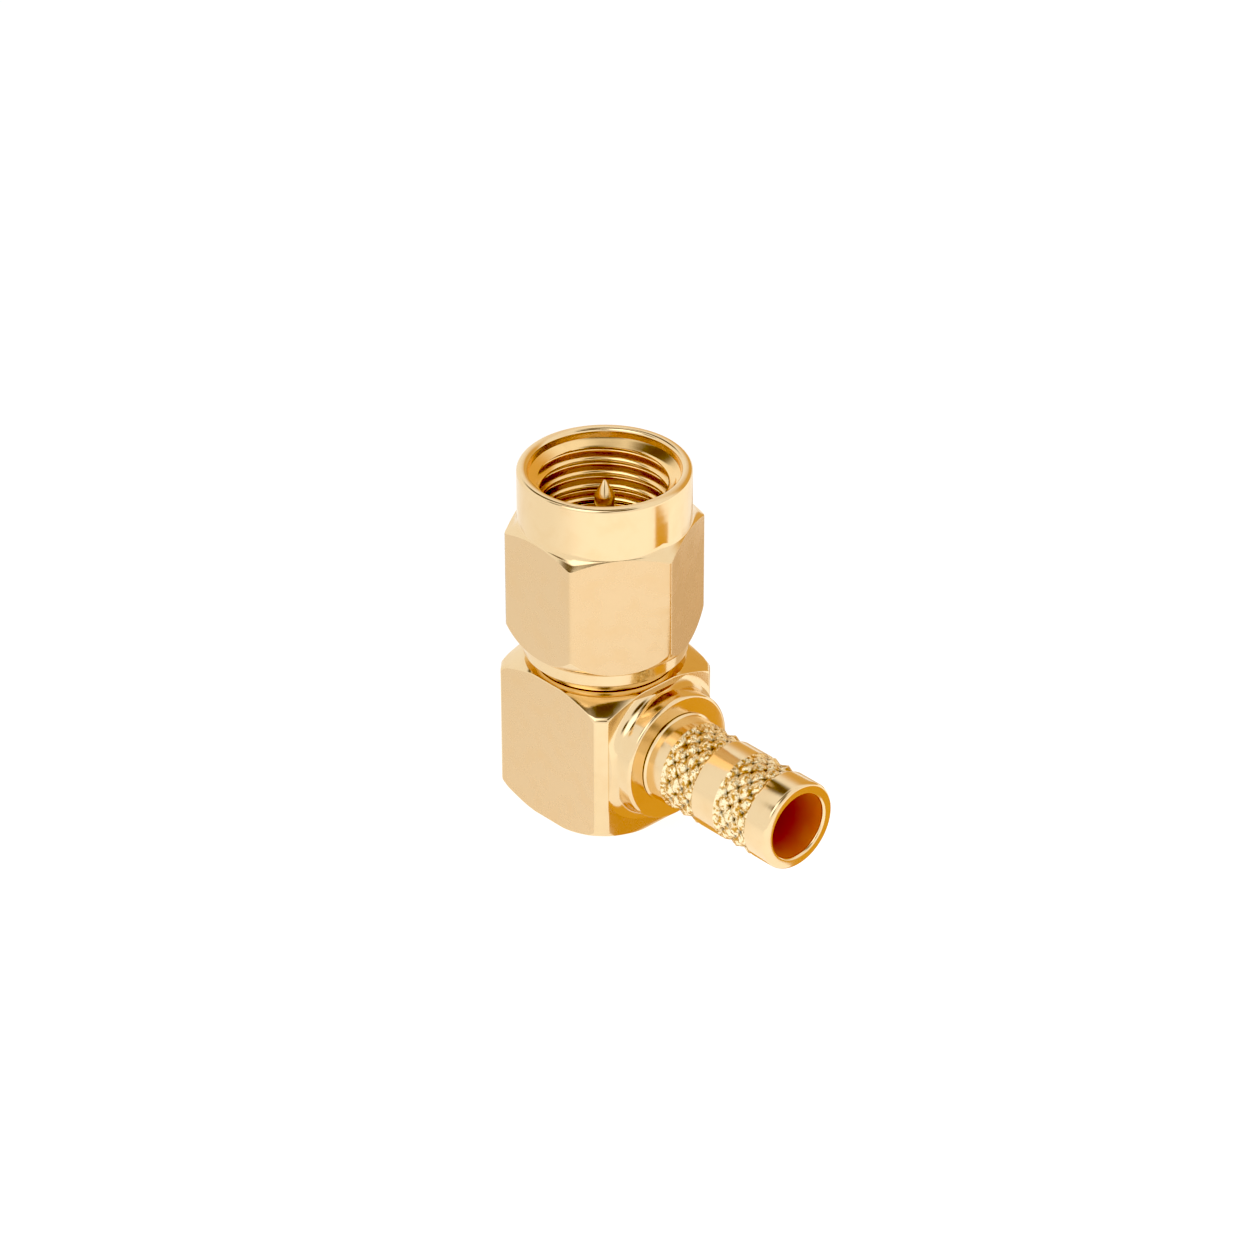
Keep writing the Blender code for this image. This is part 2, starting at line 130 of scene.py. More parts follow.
WHITE, LAMP, AMBER, BROWN = ([level * tone for tone in tones] + [1.0] for level, tones in (
    (1.05, (1, 1, 1)), (1.9, (1, 1, 1)), (0.78, (1, 0.66, 0.28)), (0.12, (1, 0.66, 0.28))))
SWEEP = (1.1, 1.1, 1.1, 1)
world = bpy.data.worlds.new("white_walls_and_a_dim_room")
bpy.context.scene.world = world
world.use_nodes = True
tree = world.node_tree
direction = node(tree, "ShaderNodeTexCoord").outputs["Generated"]
walls = WHITE
# Each round patch has its full colour up to one angle from its middle and fades out at the next.
for middle, inner, outer, colour in (
        (towards(100, 10), 26, 46, AMBER),      # the unlit back of the room
        (towards(-12, 54), 9, 18, BROWN),       # between the lamp and the right wall
        (towards(-122, 45), 5, 11, BROWN),      # between the lamp and the left wall
        (towards(-43, 32), 4, 12, BROWN),       # the camera's stand
        (towards(0, 90), 6, 22, BROWN),         # above the plug
        (towards(-125, 68), 4, 11, BROWN),      # the lamp's own stand
        (towards(168, 50), 8, 18, BROWN),       # doorway on the far left
        (towards(-80, 50), 15, 23, LAMP)):      # soft lamp beside the camera
    along = node(tree, "ShaderNodeVectorMath", {"operation": "DOT_PRODUCT", 1: middle},
                 i0=direction)
    fades, full = (math.cos(math.radians(angle)) for angle in (outer, inner))
    share = node(tree, "ShaderNodeMapRange",
                 {"interpolation_type": "SMOOTHSTEP", 1: fades, 2: full}, i0=along.outputs["Value"])
    walls = blend(tree, share.outputs[0], walls, colour)
# The lens itself sees only a white sweep behind the table, whichever way it looks.
lens = node(tree, "ShaderNodeLightPath").outputs["Is Camera Ray"]
tree.links.new(blend(tree, lens, walls, SWEEP), tree.nodes["Background"].inputs["Color"])

TABLE = 1.5                                  # half width in metres, past the edge of any view
GLOW_START, GLOW_END = -20 * MM, 25 * MM     # the table is dimmer on its left
acrylic, tree, shader = surface(
    "white_acrylic_lit_from_below", Base_Color=(0.3, 0.3, 0.3, 1), Roughness=0.9,
    Specular_IOR_Level=0, Emission_Color=(1, 1, 1, 1))
across = node(tree, "ShaderNodeSeparateXYZ", i0=object_place(tree))
glow = node(tree, "ShaderNodeMapRange", {"interpolation_type": "SMOOTHSTEP", 1: GLOW_START,
                                        2: GLOW_END, 3: 0.78, 4: 1.0}, i0=across.outputs["X"])
tree.links.new(glow.outputs[0], shader.inputs["Emission Strength"])
table_mesh = mesh_of("light_table", [(-TABLE, -TABLE, 0), (TABLE, -TABLE, 0), (TABLE, TABLE, 0),
                                     (-TABLE, TABLE, 0)], [(0, 1, 2, 3)])
table_mesh.materials.append(acrylic)
table = add("light_table", table_mesh)

# The plug's own soft shadows on the table, as its gold sees them: one under the stem that runs on
# beyond its end, and one behind the nut. Only reflections meet these sheets. Their corners are in
# millimetres.
SHEET_HEIGHT = 0.01 * MM
for name, outline, colour in (
        ("shadow_of_stem", [(3.7, -2.6), (10, -1), (44, 18), (27, 25), (3.7, 3.4)],
         (0.80, 0.47, 0.13)),
        ("shadow_of_nut", [(-9, 5), (5, 5), (10, 29), (-14, 29)], (0.78, 0.60, 0.40))):
    shade, tree, shader = surface(name, Base_Color=(0, 0, 0, 1), Specular_IOR_Level=0,
                                  Emission_Color=(*colour, 1), Emission_Strength=1)
    sheet_mesh = mesh_of(name, [(x * MM, y * MM, SHEET_HEIGHT) for x, y in outline],
                         [range(len(outline))])
    sheet_mesh.materials.append(shade)
    sheet = add(name, sheet_mesh)
    sheet.visible_camera = sheet.visible_diffuse = sheet.visible_shadow = False

# Elbow block. A brass cube milled on four sides of a turned blank, so that its corners are narrow
# turned strips and its top and underside have a turned chamfer. A round boss with a cove at its
# root carries the stem. The block is gold plated: satin on the milled sides, bright elsewhere.
FIT = 0.03 * MM                              # gap left between pressed pieces
BLOCK_HALF = 3.62 * MM
BLOCK_HEIGHT = 7.50 * MM
BLOCK_CORNER = 4.82 * MM                     # radius of the turned blank
CHAMFER_START = 3.74 * MM
CHAMFER_SLOPE = math.tan(math.radians(30))
CHAMFER_LEAST = 0.16 * MM                    # kept between a side and the chamfer's start
EDGE = 0.05 * MM                             # broken edges, rounded a little by the plating
SHARP = 0.03 * MM                            # edges left as the tool cut them
KEEN = 0.02 * MM                             # edges inside a fit
CORNER_EDGE, CORNER_RUN = 0.30 * MM, 0.27 * MM   # more rounding towards the turned corners
SHANK_BORE = 2.53 * MM
SHANK_BOTTOM = 5.87 * MM
CAVITY = 2.05 * MM
CAP_SEAT = 2.35 * MM
CAP_DEPTH = 0.83 * MM
STEM_SHOULDER = 4.93 * MM
BOSS_RADIUS = 3.08 * MM
BOSS_COVE = 0.56 * MM
BOSS_EDGE = 0.16 * MM
BOSS_SUNK = 0.5 * MM                         # the boss starts inside the block
BOSS_MIDDLE = 2.25 * MM                      # a ring of points on its flat face
STEM_HOLE = 2.03 * MM
STEM_HOLE_END = 2.57 * MM
CABLE_BORE = 1.575 * MM
GOLD = "EDD3A8"
CLOUDED_GOLD = "E4BE88"


def gold_plate(name, tools, roughness, tint=GOLD):
    """Gold over machined brass. tools is a function that adds tool marks to a node tree and gives
    their height, as a node's output, and their depth in metres. They bump the surface. Plating
    also builds a faint unevenness about 0.3 mm across, which varies the gloss and the tint."""
    material, tree, shader = surface(name, Metallic=1.0)
    place = object_place(tree)
    marks, depth = tools(tree, place)
    cloud = node(tree, "ShaderNodeTexNoise", {"Scale": 1 / (0.9 * MM), "Detail": 5.0}, Vector=place)
    gloss = node(tree, "ShaderNodeMapRange",
                 {1: 0.3, 2: 0.7, 3: roughness * 0.8, 4: roughness * 1.25}, i0=cloud.outputs[0])
    tree.links.new(gloss.outputs[0], shader.inputs["Roughness"])
    clouded = node(tree, "ShaderNodeMapRange", {1: 0.45, 2: 0.80, 3: 0.0, 4: 0.3},
                   i0=cloud.outputs[0])
    tree.links.new(blend(tree, clouded.outputs[0], linear(tint), linear(CLOUDED_GOLD)),
                   shader.inputs["Base Color"])
    bump = node(tree, "ShaderNodeBump", {"Distance": depth, "Strength": 1.0}, Height=marks)
    tree.links.new(bump.outputs[0], shader.inputs["Normal"])
    return material


def about(axis, tree, place):
    """Distance from the mating axis Z or from the stem's axis X, and the place along it, both as
    node outputs."""
    parts = node(tree, "ShaderNodeSeparateXYZ", i0=place).outputs
    if axis == "X":
        sunk = node(tree, "ShaderNodeMath", {"operation": "SUBTRACT", 1: STEM_HEIGHT},
                    i0=parts["Z"])
        along, across, up = parts["X"], parts["Y"], sunk.outputs[0]
    else:
        along, across, up = parts["Z"], parts["X"], parts["Y"]
    flat = node(tree, "ShaderNodeCombineXYZ", i0=across, i1=up)
    radius = node(tree, "ShaderNodeVectorMath", {"operation": "LENGTH"}, i0=flat.outputs[0])
    return radius.outputs["Value"], along


def turned_about(axis):
    """Tool marks of a lathe: rings of constant radius and place along the axis, 0.04 mm apart in
    the metal and drawn 0.11 mm apart, as finer ones don't show."""
    def marks(tree, place):
        radius, along = about(axis, tree, place)
        ring = node(tree, "ShaderNodeCombineXYZ", i0=radius, i1=along)
        rings = node(tree, "ShaderNodeTexNoise", {"Scale": 1 / (0.22 * MM), "Detail": 3.0},
                     Vector=ring.outputs[0])
        return rings.outputs[0], 0.0016 * MM
    return marks


def milled(tree, place):
    """Satin ground of a milled and tumbled side: grains 0.03 mm across, drawn at 0.06 mm."""
    grain = node(tree, "ShaderNodeTexNoise", {"Scale": 1 / (0.12 * MM), "Detail": 4.0},
                 Vector=place)
    return grain.outputs[0], 0.004 * MM


bright_gold = gold_plate("gold_plate_on_turned_brass", turned_about("Z"), 0.13)
bright_gold_stem = gold_plate("gold_plate_on_turned_stem", turned_about("X"), 0.13)
satin_gold = gold_plate("gold_plate_on_milled_brass", milled, 0.26, "E1C49A")


def rounded(corners, steps=5):
    """Profile through corners (radius, height, fillet): each becomes an arc tangent to its sides.

    The last axis holds the three values and the one before it the corners. Axes before those are
    separate profiles, one for each angle round a piece. The arc's centre lies on the bisector of
    the corner, at fillet / sin(half the angle) from it, and the arc turns through what is left of
    half a circle. A fillet of zero leaves one point. Returns (..., points, 2).
    """
    corners = np.asarray(corners, float)
    here, fillet = corners[..., :2], corners[..., 2:]
    before = np.roll(here, 1, -2) - here
    after = np.roll(here, -1, -2) - here
    before /= np.linalg.norm(before, axis=-1, keepdims=True)
    after /= np.linalg.norm(after, axis=-1, keepdims=True)
    half = np.arccos(np.clip((before * after).sum(-1, keepdims=True), -1, 1)) / 2
    half = np.maximum(half, 0.01)
    middle = before + after
    middle /= np.maximum(np.linalg.norm(middle, axis=-1, keepdims=True), 1e-9)
    centre = here + middle * fillet / np.sin(half)
    start = here + before * fillet / np.tan(half) - centre
    turn = np.sign(before[..., :1] * after[..., 1:] - before[..., 1:] * after[..., :1])
    through = (np.pi - 2 * half)[..., None, :] * np.linspace(0, 1, steps)[:, None]
    angle = -turn[..., None, :] * through
    x, y = start[..., None, :1], start[..., None, 1:]
    arc = np.concatenate([x * np.cos(angle) - y * np.sin(angle),
                          x * np.sin(angle) + y * np.cos(angle)], -1)
    points = (centre[..., None, :] + arc).reshape(*corners.shape[:-2], -1, 2)
    plain = corners.reshape(-1, *corners.shape[-2:])[0, :, 2] == 0
    single = plain[:, None] & (np.arange(steps) > 0)
    return points[..., ~single.ravel(), :]


def skin(name, grid, looped):
    """Closed mesh over a grid of points (rows, columns, 3). Every row is a ring.

    With looped the last row joins the first. Otherwise the first and the last row are one point
    each, on the axis, and fans of triangles close the ends.
    """
    rows, columns = grid.shape[:2]
    place = np.arange(columns)
    after = (place + 1) % columns
    if looped:
        low = np.arange(rows)[:, None] * columns
        high = (np.arange(rows)[:, None] + 1) % rows * columns
        points = grid.reshape(-1, 3)
        ends = []
    else:
        low = np.arange(rows - 3)[:, None] * columns
        high = low + columns
        points = np.concatenate([grid[1:-1].reshape(-1, 3), grid[:1, 0], grid[-1:, 0]])
        last, first_pole = (rows - 3) * columns, (rows - 2) * columns
        poles = [np.full(columns, pole) for pole in (first_pole, first_pole + 1)]
        ends = (np.stack([poles[0], after, place], -1).tolist()
                + np.stack([poles[1], last + place, last + after], -1).tolist())
    quads = np.stack([low + place, low + after, high + after, high + place], -1).reshape(-1, 4)
    return mesh_of(name, points, quads.tolist() + ends)


def spun(profile, angles, axis="Z"):
    """Points (rows, columns, 3) of a profile of (radius, height) turned about the mating axis Z, or
    about the stem's axis, which runs along X at the stem's height. The profile has one value for
    each angle, or one for all."""
    profile = np.broadcast_to(profile, (len(angles), *profile.shape[-2:]))
    radius, along = profile[..., 0].T, profile[..., 1].T
    across, up = radius * np.cos(angles), radius * np.sin(angles)
    if axis == "Z":
        return np.stack([across, up, along], -1)
    return np.stack([along, up, STEM_HEIGHT - across], -1)


def ring_of(columns):
    """Angles evenly spaced round a circle."""
    return np.arange(columns) * 2 * np.pi / columns


def at_every(angles, *corner):
    """One corner (radius, height, fillet) for every angle, where single values are repeated."""
    return np.stack([np.broadcast_to(value, angles.shape) for value in corner], -1)


def box(name, low, high):
    """Box between two opposite corners."""
    corners = [(x, y, z) for x in (low[0], high[0]) for y in (low[1], high[1])
               for z in (low[2], high[2])]
    return mesh_of(name, corners, [(0, 1, 3, 2), (4, 6, 7, 5), (0, 4, 5, 1), (2, 3, 7, 6),
                                   (0, 2, 6, 4), (1, 5, 7, 3)])


def of_faces(mesh, what):
    """The centre or the normal of every face, (faces, 3)."""
    values = np.empty(len(mesh.polygons) * 3)
    mesh.polygons.foreach_get(what, values)
    return values.reshape(-1, 3)


def show(name, mesh, materials, body, node_name, crease=38):
    """Piece over a mesh, shaded smooth between creases, that stands for a CAD node.

    Weighted normals keep a flat's shading flat right up to its rounded edge.
    """
    for material in materials:
        mesh.materials.append(material)
    mesh.shade_smooth()
    mesh.set_sharp_from_angle(angle=math.radians(crease))
    piece = add(name, mesh)
    weighted = piece.modifiers.new("Flats stay flat", "WEIGHTED_NORMAL")
    weighted.keep_sharp = True
    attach(piece, body)
    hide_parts(node_name)


def soft_least(distances, sharpness):
    """Smooth least of several distances: the power mean of their inverses. High sharpness gives a
    small corner radius."""
    least = distances.min(0)
    return least * ((distances / least) ** -sharpness).sum(0) ** (-1 / sharpness)


def bar_radius(angles, sides, apothem, turn, sharpness):
    """Distance from the axis to a bar with flat sides: apothem over the cosine of the angle to each
    side's middle, and the smooth least of those."""
    to_side = angles - turn - np.arange(sides)[:, None] * 2 * np.pi / sides
    return soft_least(apothem / np.maximum(np.cos(to_side), 0.05), sharpness)


def boolean(mesh, tool, operation):
    """Exact union, difference or intersection of two closed meshes, as a new mesh."""
    first, second = (add("shape", each) for each in (mesh, tool))
    modifier = first.modifiers.new("cut", "BOOLEAN")
    modifier.operation = operation
    modifier.object = second
    modifier.solver = "EXACT"
    cut = first.evaluated_get(bpy.context.evaluated_depsgraph_get())
    result = bpy.data.meshes.new_from_object(cut)
    for each in (first, second):
        bpy.data.objects.remove(each)
    return result


def crowded(creases, half_width, few, many):
    """Angles round a piece: few evenly spaced, and many more within half_width of each crease."""
    near = (np.asarray(creases)[:, None] + np.linspace(-half_width, half_width, many)).ravel()
    far = ring_of(few)
    gap = np.abs((far[:, None] - np.asarray(creases) + np.pi) % (2 * np.pi) - np.pi).min(1)
    both = np.concatenate([near, far[gap > half_width * 1.05]])
    return np.unique(np.round(both % (2 * np.pi), 9))


corner_angle = math.acos(BLOCK_HALF / BLOCK_CORNER)
quarter_turns = np.arange(4)[:, None] * np.pi / 2
angles = crowded((quarter_turns + [corner_angle, -corner_angle]).ravel(),
                 half_width=0.045, few=144, many=11)
side = soft_least(np.stack([
    bar_radius(angles, sides=4, apothem=BLOCK_HALF, turn=0, sharpness=900),
    np.full_like(angles, BLOCK_CORNER)]), sharpness=500)
start = np.minimum(CHAMFER_START, side - CHAMFER_LEAST)
drop = np.maximum(side - CHAMFER_START, 0) * CHAMFER_SLOPE
corner_fillet = EDGE + CORNER_EDGE * np.clip((side - BLOCK_CORNER) / CORNER_RUN + 1, 0, 1)
block_corners = np.stack([at_every(angles, *corner) for corner in (
    (0, 0, 0), (start, 0, EDGE), (side, drop, corner_fillet),
    (side, BLOCK_HEIGHT - drop, corner_fillet), (start, BLOCK_HEIGHT, EDGE),
    (0, BLOCK_HEIGHT, 0))], 1)
block = skin("elbow_block", spun(rounded(block_corners), angles), looped=False)

cove_root = BOSS_RADIUS + BOSS_COVE
cove_foot = BLOCK_HALF + 0.002 * MM          # just off the flat, so that the union is clean
boss_face = STEM_SHOULDER - FIT
boss = skin("boss", spun(rounded([
    (0, BLOCK_HALF - BOSS_SUNK, 0), (cove_root, BLOCK_HALF - BOSS_SUNK, 0),
    (cove_root, cove_foot, 0), (BOSS_RADIUS, cove_foot, BOSS_COVE * 0.995),
    (BOSS_RADIUS, boss_face - 0.03 * MM, BOSS_EDGE), (BOSS_MIDDLE, boss_face, 0),
    (0, boss_face, 0)], steps=12), ring_of(192), "X"), looped=False)
# The cove runs out at the block's turned corners and stays clear of its top and underside.
MARGIN = 0.2 * MM
limit_half = math.sqrt(BLOCK_CORNER ** 2 - BLOCK_HALF ** 2) - 0.01 * MM
limit = box("boss_limit", (BLOCK_HALF - MM, -limit_half, MARGIN),
            (boss_face + MM, limit_half, BLOCK_HEIGHT - MARGIN))
block = boolean(block, boolean(boss, limit, "INTERSECT"), "UNION")
bores = skin("bores", spun(rounded([
    (0, -MM, 0), (CAP_SEAT, -MM, 0), (CAP_SEAT, CAP_DEPTH, 0), (CAVITY, CAP_DEPTH, 0),
    (CAVITY, SHANK_BOTTOM, 0), (SHANK_BORE, SHANK_BOTTOM, 0), (SHANK_BORE, BLOCK_HEIGHT + MM, 0),
    (0, BLOCK_HEIGHT + MM, 0)]), ring_of(128)), looped=False)
block = boolean(block, bores, "DIFFERENCE")
stem_bore = skin("stem_bore", spun(rounded([
    (0, 0, 0), (CABLE_BORE, 0, 0), (CABLE_BORE, STEM_HOLE_END, 0), (STEM_HOLE, STEM_HOLE_END, 0),
    (STEM_HOLE, STEM_SHOULDER + MM, 0), (0, STEM_SHOULDER + MM, 0)]), ring_of(128), "X"),
    looped=False)
block = boolean(block, stem_bore, "DIFFERENCE")
centres, normals = of_faces(block, "center"), np.abs(of_faces(block, "normal"))
on_side = np.abs(np.abs(centres[:, :2]) - BLOCK_HALF) < 0.02 * MM
milled_side = (on_side & (normals[:, :2] > 0.999)).any(1)
show("elbow_block_plated", block, [bright_gold, satin_gold], "housing", "elbow_block", crease=30)
block.polygons.foreach_set("material_index", milled_side.astype(np.int32))

# Outer contact. A turned shell that stands in the block: its flange shows as a narrow ring under
# the nut, its barrel carries the nut, and its thin nose meets the jack at the reference plane.
REFERENCE = 14.15 * MM
SHELL_BORE = 2.07 * MM
SHELL_SHANK, SHELL_BOTTOM = 2.50 * MM, 5.90 * MM
FLANGE, FLANGE_TOP = 3.30 * MM, 7.98 * MM
NOSE = 2.29 * MM
BARREL, BARREL_TOP = 2.75 * MM, 11.37 * MM
RING_SEAT, RING_SEAT_BOTTOM, RING_SEAT_TOP = 2.40 * MM, 9.80 * MM, 10.44 * MM
shell_profile = rounded([
    (SHELL_BORE, SHELL_BOTTOM, KEEN), (SHELL_SHANK, SHELL_BOTTOM, EDGE),
    (SHELL_SHANK, BLOCK_HEIGHT + FIT, KEEN), (FLANGE, BLOCK_HEIGHT + FIT, 0.04 * MM),
    (FLANGE, FLANGE_TOP, 0.06 * MM), (BARREL, FLANGE_TOP, 0.04 * MM),
    (BARREL, RING_SEAT_BOTTOM, SHARP), (RING_SEAT, RING_SEAT_BOTTOM, SHARP),
    (RING_SEAT, RING_SEAT_TOP, SHARP), (BARREL, RING_SEAT_TOP, SHARP),
    (BARREL, BARREL_TOP, 0.06 * MM), (NOSE, BARREL_TOP, 0.04 * MM),
    (NOSE, REFERENCE, 0.06 * MM), (SHELL_BORE, REFERENCE, SHARP)], steps=4)
show("outer_contact_plated", skin("outer_contact", spun(shell_profile, ring_of(160)), True),
     [bright_gold], "housing", "outer_contact")

# Insulators. Two turned sleeves of white PTFE trap the collar of the centre contact in the shell,
# and a disc of it keeps the solder joint off the cap. PTFE is waxy: light sinks into it a little.
PTFE_HOLE = 0.665 * MM
PTFE_SLEEVE = 2.04 * MM
DISC_TOP = 1.73 * MM
ptfe, tree, shader = surface(
    "turned_white_ptfe", Roughness=0.42, IOR=1.35, Subsurface_Weight=0.25,
    Subsurface_Radius=(0.30, 0.28, 0.25), Subsurface_Scale=1.0 * MM)
rings, ring_depth = turned_about("Z")(tree, object_place(tree))
tree.links.new(blend(tree, rings, linear("F6F2E8"), linear("E9E2D2")), shader.inputs["Base Color"])
bump = node(tree, "ShaderNodeBump", {"Distance": 2 * ring_depth}, Height=rings)
tree.links.new(bump.outputs[0], shader.inputs["Normal"])
for name, bottom, top in (("front_insulator", 8.38 * MM, REFERENCE),
                          ("rear_insulator", 5.93 * MM, 7.92 * MM)):
    sleeve = rounded([(PTFE_HOLE, bottom, EDGE), (PTFE_SLEEVE, bottom, EDGE),
                      (PTFE_SLEEVE, top, KEEN), (PTFE_HOLE, top, EDGE)], steps=4)
    show(f"{name}_turned", skin(name, spun(sleeve, ring_of(96)), True), [ptfe], "housing", name)
disc = rounded([(0, CAP_DEPTH, 0), (CAVITY - FIT, CAP_DEPTH, EDGE), (CAVITY - FIT, DISC_TOP, EDGE),
                (0, DISC_TOP, 0)], steps=4)
show("cap_insulator_turned", skin("cap_insulator", spun(disc, ring_of(96)), False), [ptfe],
     "housing", "cap_insulator")

# Centre contact. A pin with a conical point, a collar between the sleeves and a sawn solder end.
# It is turned from bar and plated with the same gold.
PIN, TIP = 0.46 * MM, 0.07 * MM
CONE_BOTTOM, PIN_TOP = 15.96 * MM, 16.69 * MM
CONTACT = 0.635 * MM                         # radius in the insulators
HELD_COLLAR, HELD_BOTTOM, HELD_TOP = 1.00 * MM, 7.95 * MM, 8.35 * MM
SOLDER_END, SOLDER_BOTTOM, SOLDER_TOP = 0.95 * MM, 3.20 * MM, 5.60 * MM
SLOT_HALF = 0.475 * MM
SLOT_TOP = 4.75 * MM
pin_profile = rounded([
    (0, SOLDER_BOTTOM, 0), (SOLDER_END, SOLDER_BOTTOM, EDGE), (SOLDER_END, SOLDER_TOP, EDGE),
    (CONTACT, SOLDER_TOP, SHARP), (CONTACT, HELD_BOTTOM, SHARP), (HELD_COLLAR, HELD_BOTTOM, SHARP),
    (HELD_COLLAR, HELD_TOP, SHARP), (CONTACT, HELD_TOP, SHARP), (CONTACT, REFERENCE, 0.04 * MM),
    (PIN, REFERENCE, SHARP), (PIN, CONE_BOTTOM, 0.10 * MM), (TIP, PIN_TOP, 0.05 * MM),
    (0, PIN_TOP, 0)], steps=5)
pin = skin("center_contact", spun(pin_profile, ring_of(80)), False)
slot = box("solder_slot", (-2 * MM, -SLOT_HALF, 2 * MM), (2 * MM, SLOT_HALF, SLOT_TOP))
show("center_contact_plated", boolean(pin, slot, "DIFFERENCE"), [bright_gold], "housing",
     "center_contact")

# Gasket. A moulded washer of red silicone round the nose, matt and slightly dusty.
# It stays in the relief behind the nut's thread and seals against the jack.
GASKET_HOLE, GASKET_RIM = 2.33 * MM, 3.12 * MM
GASKET_BOTTOM, GASKET_TOP = 11.40 * MM, 12.25 * MM
GASKET_ROUND = 0.18 * MM
silicone, tree, shader = surface("moulded_red_silicone", Roughness=0.55, IOR=1.41)
dust = node(tree, "ShaderNodeTexNoise", {"Scale": 1 / (0.4 * MM), "Detail": 6.0},
            Vector=object_place(tree)).outputs[0]
tree.links.new(blend(tree, dust, linear("8E1D12"), linear("B4402E")), shader.inputs["Base Color"])
bump = node(tree, "ShaderNodeBump", {"Distance": 0.006 * MM}, Height=dust)
tree.links.new(bump.outputs[0], shader.inputs["Normal"])
washer = rounded([(GASKET_HOLE, GASKET_BOTTOM, EDGE), (GASKET_RIM, GASKET_BOTTOM, GASKET_ROUND),
                  (GASKET_RIM, GASKET_TOP, GASKET_ROUND), (GASKET_HOLE, GASKET_TOP, EDGE)])
show("gasket_moulded", skin("gasket", spun(washer, ring_of(128)), True), [silicone],
     "housing", "gasket")

# Retaining ring. A split ring of spring-tempered copper alloy, nearly square in section, snaps into
# the barrel's groove and holds the nut while it turns. It is left bare, so it is dull and browner.
RING_INNER, RING_OUTER = 2.44 * MM, 2.98 * MM
RING_BOTTOM, RING_TOP = 9.82 * MM, 10.27 * MM
RING_GAP = 1.0 * MM
spring, tree, shader = surface("tempered_beryllium_copper", Metallic=1.0)
temper = node(tree, "ShaderNodeTexNoise", {"Scale": 1 / (1.2 * MM), "Detail": 4.0},
              Vector=object_place(tree)).outputs[0]
tree.links.new(blend(tree, temper, linear("D79A6B"), linear("B07046")),
               shader.inputs["Base Color"])
dull = node(tree, "ShaderNodeMapRange", {3: 0.28, 4: 0.45}, i0=temper)
tree.links.new(dull.outputs[0], shader.inputs["Roughness"])
wire = rounded([(RING_INNER, RING_BOTTOM, EDGE), (RING_OUTER, RING_BOTTOM, EDGE),
                (RING_OUTER, RING_TOP, EDGE), (RING_INNER, RING_TOP, EDGE)], steps=4)
half_gap = math.asin(RING_GAP / 2 / RING_OUTER)
bend = np.linspace(-math.pi + half_gap, math.pi - half_gap, 129)
sections = spun(wire, bend).transpose(1, 0, 2)
first_end, last_end = (np.broadcast_to(end.mean(1, keepdims=True), end.shape)
                       for end in (sections[:1], sections[-1:]))
ring_grid = np.concatenate([first_end, sections, last_end])
show("retaining_ring_sprung", skin("retaining_ring", ring_grid[:, ::-1], False), [spring],
     "ring", "retaining_ring")

# Coupling nut. Turned from hexagon bar: a plain neck in front, a tapered shoulder, six flats, a
# second taper and a narrow collar behind. Inside are the mouth's lead-in, the thread, the gasket
# relief and the groove for the ring. The flats keep a satin ground, and the rest is bright.
NUT_BOTTOM, NUT_TOP = 8.05 * MM, 17.40 * MM
NUT_APOTHEM = 4.00 * MM
NUT_TURN = math.radians(-2.7)                # the free nut stands turned a little off square
NECK, NECK_BOTTOM = 3.98 * MM, 14.80 * MM
SHOULDER_SLOPE = 0.65
COLLAR, COLLAR_TOP = 3.82 * MM, 8.66 * MM
TAPER_FOOT, TAPER_GAIN = 0.55, 0.75          # rise over run at the collar, and what it gains
TAPER_RUN = 0.8 * MM                         # over this run
TAPER_STEPS = 8
BORE = 2.80 * MM
GROOVE_BOTTOM, GROOVE_TOP, GROOVE_RADIUS = 9.79 * MM, 10.29 * MM, 3.03 * MM
RELIEF_BOTTOM, RELIEF_TOP, RELIEF = 11.20 * MM, 12.50 * MM, 3.27 * MM
RUN_OUT_SLOPE = 1.5
THREAD_MINOR, THREAD_MAJOR = 2.88 * MM, 3.27 * MM
PITCH = 25.4 / 36 * MM
MOUTH = 3.47 * MM
LEAD_IN = ((17.20 * MM, MOUTH), (16.98 * MM, 3.42 * MM), (16.74 * MM, 2.80 * MM))
THREAD_START = 0.43                          # turns
THREAD_ROWS = 176
NUT_STEPS = 6                                # points on each rounded edge outside


def thread_radius(angles, heights):
    """Internal thread, its V rounded by plating: a raised cosine between the least radius on a
    crest and the most in a root. The height of a crest rises by one pitch a turn. The lead-in, a
    steep edge and then a slow taper, cuts the first turns away, and the relief ends the last."""
    place = heights[:, None] / PITCH - angles / (2 * np.pi) - THREAD_START
    groove = 0.5 - 0.5 * np.cos(2 * np.pi * place)
    down, open_radius = np.array(LEAD_IN[::-1]).T
    lead_in = np.interp(heights, down, open_radius)[:, None]
    run_out = RELIEF - np.maximum(heights[:, None] - RELIEF_TOP, 0) * RUN_OUT_SLOPE
    cut = THREAD_MINOR + (THREAD_MAJOR - THREAD_MINOR) * groove
    return np.maximum(np.maximum(cut, lead_in), run_out)


